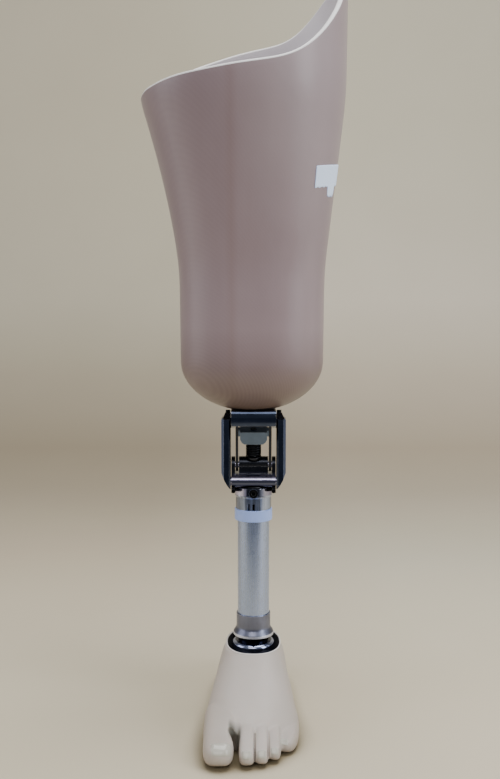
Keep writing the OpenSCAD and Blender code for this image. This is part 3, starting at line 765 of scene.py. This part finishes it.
# Toes from root to tip as [x, y, z, half width, half height], in mm
TOES = {
    "great": [[-28.5, -76, 18, 15, 17], [-29.4, -95, 16, 14.2, 15], [-30, -108, 13.8, 13.3, 13],
              [-30.1, -118, 12.4, 13.2, 11.2], [-29.9, -126, 12, 12.4, 10], [-29.7, -131.5, 12, 10, 7.8],
              [-29.6, -134.6, 12, 6.2, 4.8], [-29.6, -135.8, 12, 2, 1.8]],
    "second": [[-4.6, -82, 16, 7.6, 12.4], [-5.6, -98, 14.4, 7, 10.8], [-6, -110, 12, 6.9, 9.4],
               [-6, -119, 10.2, 6.9, 8.2], [-6, -126, 9.5, 6.6, 7], [-6, -130, 9.3, 5.2, 5],
               [-6, -132, 9.2, 2.6, 2.4], [-6, -132.5, 9.2, 1, 1]],
    "third": [[7, -80, 15.5, 7, 12], [6.7, -96, 13.8, 6.2, 10.2], [6.6, -107, 11.4, 6.1, 9],
              [6.6, -116, 9.6, 6.1, 7.8], [6.6, -123.4, 9, 5.8, 6.6], [6.6, -127.3, 8.8, 4.6, 4.7],
              [6.6, -129.2, 8.7, 2.3, 2.2], [6.6, -129.7, 8.7, 1, 1]],
    "fourth": [[18.8, -77, 14.5, 6.8, 11], [18.2, -91, 12.8, 5.8, 9.5], [17.8, -101, 10.6, 5.6, 8.3],
               [17.7, -109.5, 9, 5.6, 7.2], [17.6, -116, 8.4, 5.3, 6], [17.6, -119.6, 8.2, 4.1, 4.3],
               [17.6, -121.4, 8.1, 2, 2], [17.6, -121.8, 8.1, 0.9, 0.9]],
    "fifth": [[30.6, -70, 13, 9, 10.4], [31.4, -82, 11.6, 8.6, 9.2], [30.9, -91, 9.8, 8, 8.2],
              [29.8, -97, 8.2, 7.2, 7], [28.6, -101.4, 7.6, 6.3, 5.8], [28.1, -104.4, 7.5, 4.7, 4.2],
              [28, -105.9, 7.4, 2.2, 2], [28, -106.3, 7.4, 1, 1]],
}
# The gap beside the big toe, wide at its root, as [x, y, width] of its root and tip
GAP = ((-17.0, -104, 7.0), (-14.9, -140, 4.2))
# The creases between the other toes, as [x at the root, x at the tip, y of the root, y of the tip, width]
CREASES = ((0.7, 0.6, -98, -138, 1.1), (12.6, 12.2, -95, -136, 1.35), (23.6, 22.6, -89, -128, 1.35))
# Nails as (middle, outward direction, half width, half length), in mm
NAILS = {
    "great": ((-27.2, -131.2, 18.4), (0.06, -0.72, 0.69), 9.5, 6.2),
    "second": ((-6.0, -130.6, 13.4), (0.0, -0.78, 0.62), 4.4, 3.8),
    "third": ((6.6, -127.8, 12.6), (0.0, -0.78, 0.62), 4.0, 3.6),
    "fourth": ((17.6, -120.0, 11.4), (0.0, -0.76, 0.65), 3.7, 3.3),
    "fifth": ((26.4, -103.6, 11.6), (-0.20, -0.74, 0.64), 3.5, 3.0),
}
# The ankle's top, the height from which it narrows towards its opening, and that opening: an oval round
# (0, middle), in mm
ANKLE_Z = 65
NARROW_Z = 36
RECESS = {"middle": -4.0, "half": (24.4, 34.5), "floor": 50.0, "exponent": 0.86}


def recess_point(angle, grow):
    """x and y on the ankle opening's oval, grown by grow."""
    c, s = power(math.cos(angle), RECESS["exponent"]), power(math.sin(angle), RECESS["exponent"])
    return (RECESS["half"][0] + grow) * c, RECESS["middle"] + (RECESS["half"][1] + grow) * s


def foot_ring(row, sides):
    """One section of the foot: ridge nearer the medial side, flat sole, raised medial arch."""
    y, medial, lateral, top = row
    ridge = medial + 0.46 * (lateral - medial)
    middle = 0.4 * top
    arch = 7.5 * smoothstep((y + 62) / 30) * smoothstep((38 - y) / 30)
    points = []
    for k in range(sides):
        a = 2 * math.pi * k / sides
        c, s = power(math.cos(a), 0.8), power(math.sin(a), 0.8)
        x = ridge + c * ((lateral - ridge) if c > 0 else (ridge - medial))
        z = middle + s * ((top - middle) if s > 0 else (middle + 4))
        inner = smoothstep((-x - 12) / 16)
        z = max(arch * inner, z)
        recede = 13 * smoothstep((-y - 62) / 46) * max(0.0, (x + 2) / 38)
        points.append((x, y + recede, z))
    return points


def toe_ring(row, sides):
    """One section of a toe: squarish, and flat where it meets the ground."""
    x, y, z, half_w, half_h = row
    return [(x + half_w * power(math.cos(a), 0.5), y, max(0.0, z + half_h * power(math.sin(a), 0.72)))
            for a in (2 * math.pi * k / sides for k in range(sides))]


def across_opening(x, y):
    """1 on the opening's edge, less inside and more outside."""
    n = 2 / RECESS["exponent"]
    half_x, half_y = RECESS["half"]
    return (abs(x / half_x) ** n + abs((y - RECESS["middle"]) / half_y) ** n) ** (1 / n)


def recess_tool():
    """Oval plug with a slightly flared top, for carving the ankle opening."""
    rings = []
    for z, grow in ((RECESS["floor"], 0.0), (ANKLE_Z - 1, 0.0), (ANKLE_Z - 0.4, 0.2), (ANKLE_Z + 0.01, 0.6),
                    (ANKLE_Z + 25, 0.6)):
        rings.append([(*recess_point(2 * math.pi * k / 128, grow), z) for k in range(128)])
    return add_object("tool", tube_mesh(rings))


def gap_tool():
    """Upright blade with a round back that parts the big toe from the others."""
    (x0, y0, root), (x1, y1, tip) = GAP
    # At each height: how much wider the gap is, and how far its root leans forward
    levels = ((-5, 0.8, 10), (6, 0.85, 8), (12, 1.0, 5), (18, 1.2, 2), (26, 1.6, 0), (60, 2.2, 0))
    rings = []
    for z, grow, under in levels:
        half, narrow = root / 2 * grow, tip / 2 * grow
        back = y0 + under - half
        ring = [(x0 + half * math.cos(a), back + half * math.sin(a), z)
                for a in (math.pi * k / 8 for k in range(9))]
        waist = y0 - 0.45 * (y0 - y1)
        rings.append(ring + [(x1 - narrow, waist, z), (x1 - narrow, y1, z), (x1 + narrow, y1, z),
                             (x1 + narrow, waist, z)])
    return add_object("tool", tube_mesh(rings))


def crease_tool(row):
    """Shallow V between two toes, just below their tops and open at the tips."""
    x0, x1, y0, y1, width = row
    rings = []
    steps = 12
    for k in range(steps + 1):
        t = k / steps
        y = y0 + (y1 - y0) * t
        bottom = 19.5 + 0.42 * (y - y0) - 7 * smoothstep((t - 0.45) * 3)
        half = width / 2 * (0.5 + 0.5 * smoothstep(t * 5))
        x = x0 + (x1 - x0) * t
        rings.append([(x - half, y, bottom), (x + half, y, bottom), (x + half * 1.8, y, bottom + 10),
                      (x + half * 1.8, y, 60), (x - half * 1.8, y, 60), (x - half * 1.8, y, bottom + 10)])
    return add_object("tool", tube_mesh(rings))


def box_tool(low, high):
    """Box between two corners in mm, for carving."""
    made = bmesh.new()
    bmesh.ops.create_cube(made, size=1)
    for v in made.verts:
        v.co = Vector([(lo + (hi - lo) * (c + 0.5)) * MM for lo, hi, c in zip(low, high, v.co)])
    return add_object("tool", made)


def even_grid(obj, size, passes):
    """Remeshes obj with faces of about size mm and smooths it."""
    grid = obj.modifiers.new("grid", "REMESH")
    grid.mode = "VOXEL"
    grid.voxel_size = size * MM
    grid.use_smooth_shade = True
    even = obj.modifiers.new("even", "SMOOTH")
    even.factor = 0.5
    even.iterations = passes
    bake_modifiers(obj)


def foot_body():
    """The foot and its toes as one even mesh, parted by the gap and the creases."""
    made = tube_mesh([foot_ring(row, 64) for row in along(FOOT, 6)])
    foot = add_object("foot_skin", made, MATERIALS["skin"], MATERIALS["recess"])
    parts = [foot]
    for rows in TOES.values():
        parts.append(add_object("toe", tube_mesh([toe_ring(row, 32) for row in along(rows, 5)])))
    with bpy.context.temp_override(active_object=foot, selected_editable_objects=parts):
        bpy.ops.object.join()
    even_grid(foot, 1.2, 6)
    carve(foot, gap_tool(), *(crease_tool(row) for row in CREASES))
    even_grid(foot, 0.6, 3)
    return foot


def shape_ankle(foot):
    """Flattens the sole and narrows the ankle to a thin wall round its opening, curved out to the heel."""
    middle = RECESS["middle"]
    half_x, half_y = RECESS["half"]
    rise = ANKLE_Z - NARROW_Z
    for v in foot.data.vertices:
        if v.co.z < 0.35 * MM:
            v.co.z = 0.0
        x, y, z = v.co / MM
        limit = 1.5 - 0.455 * smoothstep((z - NARROW_Z) / rise)
        if y > middle:
            u, w = (x / half_x) ** 2, ((y - middle) / half_y) ** 2
            heel = 1.045 + 1.5 * max(0.0, (ANKLE_Z - z) / rise) ** 1.5
            limit += (heel - limit) * w / (u + w + 1e-6)
        excess = across_opening(x, y) / limit
        if z > NARROW_Z and excess > 1:
            shrink = 1 + (1 / excess - 1) * smoothstep((y + 16) / 18)
            v.co.x *= shrink
            v.co.y = (middle + (y - middle) * shrink) * MM


def build_foot():
    """Foot skin with its ankle opening, nails and bead."""
    foot = foot_body()
    shape_ankle(foot)
    skin = BVHTree.FromPolygons([v.co.copy() for v in foot.data.vertices],
                                [tuple(p.vertices) for p in foot.data.polygons])
    carve(foot, box_tool((-80, -200, ANKLE_Z), (80, 200, 140)), recess_tool(), copy_of("foot_keel"),
          copy_of("heel_cushion"), cylinder_tool(10, -5, 13))
    for face in foot.data.polygons:
        x, y, z = face.center / MM
        across = across_opening(x, y)
        top = z > ANKLE_Z - 0.6
        # Faces inside the opening take the near-black painted shade
        face.material_index = int(across < 1.006 and not top)
        face.use_smooth = not top
    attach(foot, "foot")
    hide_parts("foot_shell")
    build_nails(skin)
    build_bead()


def build_bead():
    """Bead round the ankle opening, pale as a painted highlight on its rim."""
    profile = ((0.5, -0.8), (0.5, 0.1), (0.75, 0.4), (1.15, 0.4), (1.45, 0.1), (1.45, -0.8))
    rings = []
    for k in range(128):
        a = 2 * math.pi * k / 128
        rings.append([(*recess_point(a, grow), ANKLE_Z + rise) for grow, rise in profile])
    bead = add_object("foot_rim", tube_mesh(rings, closed=True), MATERIALS["rim"])
    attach(bead, "foot")


def build_nails(skin):
    """Nails laid on the toes: each a thin plate that follows the skin below it."""
    made = bmesh.new()
    count, above = 18, 14
    for middle, outward, half_w, half_l in NAILS.values():
        n = Vector(outward).normalized()
        right = (Vector((0, 0, 1)).cross(n) * -1).normalized()
        up = right.cross(n).normalized()
        if up.z < 0:
            up.negate()
        grid = []
        for i in range(count + 1):
            column = []
            for j in range(count + 1):
                u, v = 2 * i / count - 1, 2 * j / count - 1
                round_u = u * math.sqrt(1 - 0.32 * v * v)
                round_v = v * math.sqrt(1 - 0.32 * u * u)
                start = (Vector(middle) + right * round_u * half_w + up * round_v * half_l + n * above) * MM
                hit, _, _, _ = skin.ray_cast(start, -n)
                hit = hit or start - n * above * MM
                lift = 0.45 + 0.75 * smoothstep((v + 0.1) / 1.1) - 1.2 * max(abs(u) ** 9, abs(v) ** 18)
                column.append((hit + n * lift * MM, hit - n * 0.6 * MM))
            grid.append(column)
        add_plate(made, grid)
    bmesh.ops.recalc_face_normals(made, faces=made.faces)
    nails = add_object("foot_nails", made, MATERIALS["nail"])
    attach(nails, "foot")


# ---------------------------------------------------------------- machined parts

def break_edges(node, width):
    """Welds a CAD node's mesh and rounds its sharp edges by width mm."""
    obj = NODES[node]
    weld = obj.modifiers.new("weld", "WELD")
    weld.merge_threshold = 1e-6
    flat = obj.modifiers.new("flat", "DECIMATE")
    flat.decimate_type = "DISSOLVE"
    flat.angle_limit = math.radians(0.5)
    bevel = obj.modifiers.new("edge", "BEVEL")
    bevel.width = width * MM
    bevel.segments = 2
    bevel.limit_method = "ANGLE"
    bevel.angle_limit = math.radians(32)
    obj.modifiers.new("even", "WEIGHTED_NORMAL")


# Widths of the broken edges, in mm
EDGES = {
    "upper_frame": 0.35, "outer_link_medial": 0.35, "outer_link_lateral": 0.35, "lower_frame": 0.3,
    "front_hub_sleeve": 0.3, "inner_link_medial": 0.25, "inner_link_lateral": 0.25, "assist_cup": 0.4,
    "assist_plunger": 0.2, "upper_tube_adapter": 0.3, "tube_collar": 0.6, "tube_clamp": 0.35,
    "foot_adapter": 0.2, "upper_set_screws": 0.2, "upper_rear_stubs": 0.2, "axle_lock_screws": 0.25,
    "link_lock_screws": 0.25,
    "pylon_tube": 0.3, "anchor_plate": 0.3, "knee_pyramid": 0.3, "clamp_screw": 0.2,
    "upper_front_axle": 0.2, "lower_front_axle": 0.3, "lower_rear_axle": 0.2,
}


# ---------------------------------------------------------------- stage

# Painted shade from the floor under the leg to the top of the backdrop, darkest halfway up and on the left,
# as (share of the way, left side, right side)
FLOOR_PAINTED_SHADE = (
    (0.0, (0.92, 0.895, 0.80), (0.98, 0.94, 0.86)),
    (0.17, (0.73, 0.68, 0.61), (0.82, 0.82, 0.77)),
    (0.30, (0.58, 0.54, 0.48), (0.71, 0.68, 0.63)),
    (0.445, (0.466, 0.42, 0.36), (0.608, 0.55, 0.49)),
    (0.58, (0.60, 0.57, 0.51), (0.78, 0.74, 0.69)),
    (0.71, (0.79, 0.785, 0.73), (1.0, 0.985, 0.965)),
    (0.9, (0.90, 0.895, 0.835), (0.99, 1.0, 0.95)),
)


def floor_material():
    """Matt paper with painted shade, darker halfway up and on its left side; its front, outside the picture,
    is dark for the metal to mirror.
    """
    m = Nodes("floor_paint")
    paint = m.ramp(m.noise(0.4, 3.0), [(0.3, rgb(0.64, 0.585, 0.475)), (0.7, rgb(0.67, 0.615, 0.505))])
    # Painted shade up the sweep, mixed from the left side to the right
    place = m.span(m.math("ADD", m.axis("Y"), m.axis("Z")), 0.0, 3.0, 0.0, 1.0)
    left = m.ramp(place, [(share, rgb(*tone)) for share, tone, _ in FLOOR_PAINTED_SHADE])
    right = m.ramp(place, [(share, rgb(*tone)) for share, _, tone in FLOOR_PAINTED_SHADE])
    shade = m.mix(m.span(m.axis("X"), -0.2, 0.2, 0.0, 1.0), left, right)
    front = m.span(m.axis("Y"), -0.34, -0.6, 0.0, 1.0)
    # Contact shadow under the foot
    near = m.add("ShaderNodeAmbientOcclusion", samples=8)
    near.inputs["Distance"].default_value = 0.03
    shade = m.mix(m.span(near.outputs["AO"], 0.85, 0.45, 0.0, 1.0), shade, rgb(0.3, 0.26, 0.18))
    base = m.mix(front, m.mix(1.0, paint, shade, "MULTIPLY"), rgb(0.07, 0.075, 0.09))
    m.link(base, m.shader.inputs["Base Color"])
    m.set(Roughness=0.85)
    return m.material


def build_stage():
    """Seamless floor and backdrop."""
    depth, height, half, bend = 1.0, 3.4, 4.0, 0.9
    outline = [(-3.2, 0.0)]
    outline += [(depth + bend * math.sin(a), bend - bend * math.cos(a))
                for a in (math.radians(90 * k / 24) for k in range(25))]
    outline += [(depth + bend, height)]
    made = bmesh.new()
    rows = [[made.verts.new((x, y, z)) for y, z in outline] for x in (-half, half)]
    for i in range(len(outline) - 1):
        made.faces.new((rows[0][i], rows[1][i], rows[1][i + 1], rows[0][i + 1]))
    floor = add_object("floor", made, floor_material())


def area_light(name, place, target, size, power, colour=(1, 1, 1)):
    """Rectangular light at place, turned to target; size in metres, power in watts."""
    data = bpy.data.lights.new(name, "AREA")
    data.shape = "RECTANGLE"
    data.size, data.size_y = size
    data.energy = power
    data.color = colour
    light = bpy.data.objects.new(name, data)
    light.location = place
    light.rotation_euler = (Vector(target) - Vector(place)).to_track_quat("-Z", "Y").to_euler()
    SCENE.collection.objects.link(light)


def build_camera():
    """Camera as fitted to the photo: low, close and looking slightly down."""
    data = bpy.data.cameras.new("camera")
    data.sensor_width = 36.0
    data.lens = 43.9
    camera = bpy.data.objects.new("camera", data)
    camera.location = (-0.0033, -0.888, 0.392)
    camera.rotation_euler = (math.radians(90 - 5.5), 0, 0)
    SCENE.collection.objects.link(camera)
    bpy.context.scene.camera = camera


for node, width in EDGES.items():
    break_edges(node, width)
build_socket()
build_pad()
build_label()
build_spring()
build_foot()
build_camera()
build_stage()
area_light("overhead", (0.25, -0.12, 2.3), (0.0, -0.1, 0.2), (1.4, 1.7), 54)
area_light("fill", (1.9, -1.1, 1.0), (0, 0, 0.4), (0.9, 1.8), 26, (0.92, 0.96, 1.0))
area_light("left_wall", (-2.0, -0.5, 0.9), (0, 0, 0.3), (1.2, 1.6), 12, (0.95, 0.94, 1.0))
area_light("strip_left", (-0.95, 0.04, 0.5), (0, 0, 0.35), (0.10, 0.95), 0.4)
area_light("strip_right", (0.95, 0.04, 0.5), (0, 0, 0.35), (0.10, 0.95), 0.4)
area_light("front", (-0.3, -2.3, 1.9), (0, 0, 0.5), (1.8, 0.9), 22, (1.0, 0.97, 0.95))
world = bpy.data.worlds.new("world")
SCENE.world = world
world.use_nodes = True
sky = world.node_tree.nodes["Background"]
sky.inputs["Color"].default_value = rgb(0.92, 0.95, 1.0)
sky.inputs["Strength"].default_value = 0.22
